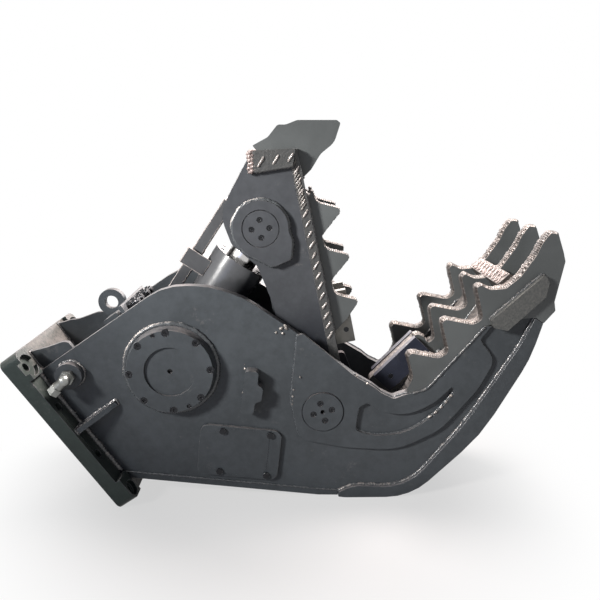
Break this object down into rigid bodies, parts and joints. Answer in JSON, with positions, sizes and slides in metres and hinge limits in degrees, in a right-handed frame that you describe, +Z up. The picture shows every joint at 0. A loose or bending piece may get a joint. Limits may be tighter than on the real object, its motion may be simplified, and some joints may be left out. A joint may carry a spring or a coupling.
{
  "type": "concrete pulverizer",
  "caption": "Excavator demolition jaw: flanged frame with fixed toothed jaw plates and cutter blades, and a toothed jaw that a trunnion-mounted hydraulic cylinder closes.",
  "frame": {"origin": "centre of the bounding box on the ground under the belly", "axes": "+X from the mounting flange towards the fixed jaw's tips, +Y across the machine to the side away from the picture's view, +Z up as the attachment stands in the picture"},
  "size_m": [2.1045, 0.632, 1.484],
  "materials": {
    "frame_paint": "satin",
    "jaw_paint": "satin",
    "cylinder_paint": "gloss",
    "worn_tooth_plate": "satin",
    "machined_steel": "machined",
    "blade_steel": "ground",
    "rod_chrome": "polished",
    "bush_bronze": "machined",
    "dark_bolt_steel": "black oxide",
    "zinc_fitting": "zinc plated"
  },
  "bodies": {
    "frame": {"mounting_flange": "frame_paint", "side_wall_left": "frame_paint", "side_wall_right": "frame_paint", "bottom_plate": "frame_paint", "belly_plate": "frame_paint", "top_cover": "frame_paint", "hose_bulkhead": "frame_paint", "hose_adapters": "dark_bolt_steel", "outer_ribs": "frame_paint", "flange_gussets": "frame_paint", "lifting_eye": "frame_paint", "doubler_left": "frame_paint", "doubler_right": "frame_paint", "fixed_teeth_left": "worn_tooth_plate", "fixed_teeth_mid": "worn_tooth_plate", "fixed_teeth_right": "worn_tooth_plate", "jaw_floor": "frame_paint", "cross_bar": "worn_tooth_plate", "fixed_tip_straps": "frame_paint", "trunnion_housings": "frame_paint", "trunnion_bushes": "bush_bronze", "trunnion_covers": "frame_paint", "trunnion_bolts": "dark_bolt_steel", "main_pin": "machined_steel", "pin_caps": "frame_paint", "pin_cap_bolts": "dark_bolt_steel", "thrust_washers": "bush_bronze", "access_cover": "frame_paint", "access_bolts": "dark_bolt_steel", "side_lug": "frame_paint", "port_bosses": "frame_paint", "port_fittings": "zinc_fitting", "fixed_blades": "blade_steel", "fixed_blade_bolts": "dark_bolt_steel"},
    "jaw": {"cheek_left": "jaw_paint", "cheek_right": "jaw_paint", "jaw_hub": "jaw_paint", "jaw_bushes": "bush_bronze", "front_plate": "worn_tooth_plate", "back_plate": "jaw_paint", "crown_plate": "jaw_paint", "moving_teeth_left": "worn_tooth_plate", "moving_teeth_right": "worn_tooth_plate", "cheek_straps": "jaw_paint", "rod_pin_bosses": "jaw_paint", "rod_pin": "machined_steel", "rod_pin_bolts": "dark_bolt_steel", "moving_blades": "blade_steel", "moving_blade_bolts": "dark_bolt_steel"},
    "barrel": {"barrel": "cylinder_paint", "trunnion_ring": "machined_steel", "gland": "cylinder_paint", "gland_bolts": "dark_bolt_steel", "barrel_ports": "cylinder_paint", "guard_clamp": "cylinder_paint"},
    "rod": {"piston_rod": "rod_chrome", "piston": "machined_steel", "rod_eye": "cylinder_paint", "eye_bush": "bush_bronze", "rod_guard": "cylinder_paint"}
  },
  "joints": [
    {"name": "jaw_swing", "type": "hinge", "parent": "frame", "child": "jaw", "pos_m": [0.15638, 0, 0.38], "axis": [0, 1, 0], "range_deg": [0, 48]},
    {"name": "barrel_swing", "type": "hinge", "parent": "frame", "child": "barrel", "pos_m": [-0.42862, 0, 0.56], "axis": [0, 1, 0], "range_deg": [0, 30.5]},
    {"name": "rod_extend", "type": "slide", "parent": "barrel", "child": "rod", "axis": [0.5591, 0, 0.8291], "range_m": [0, 0.44]}
  ],
  "couplings": [
    {"joint": "barrel_swing", "follows": "jaw_swing", "ratio": 0.6238},
    {"joint": "rod_extend", "follows": "jaw_swing", "m_per_rad": 0.5185}
  ]
}
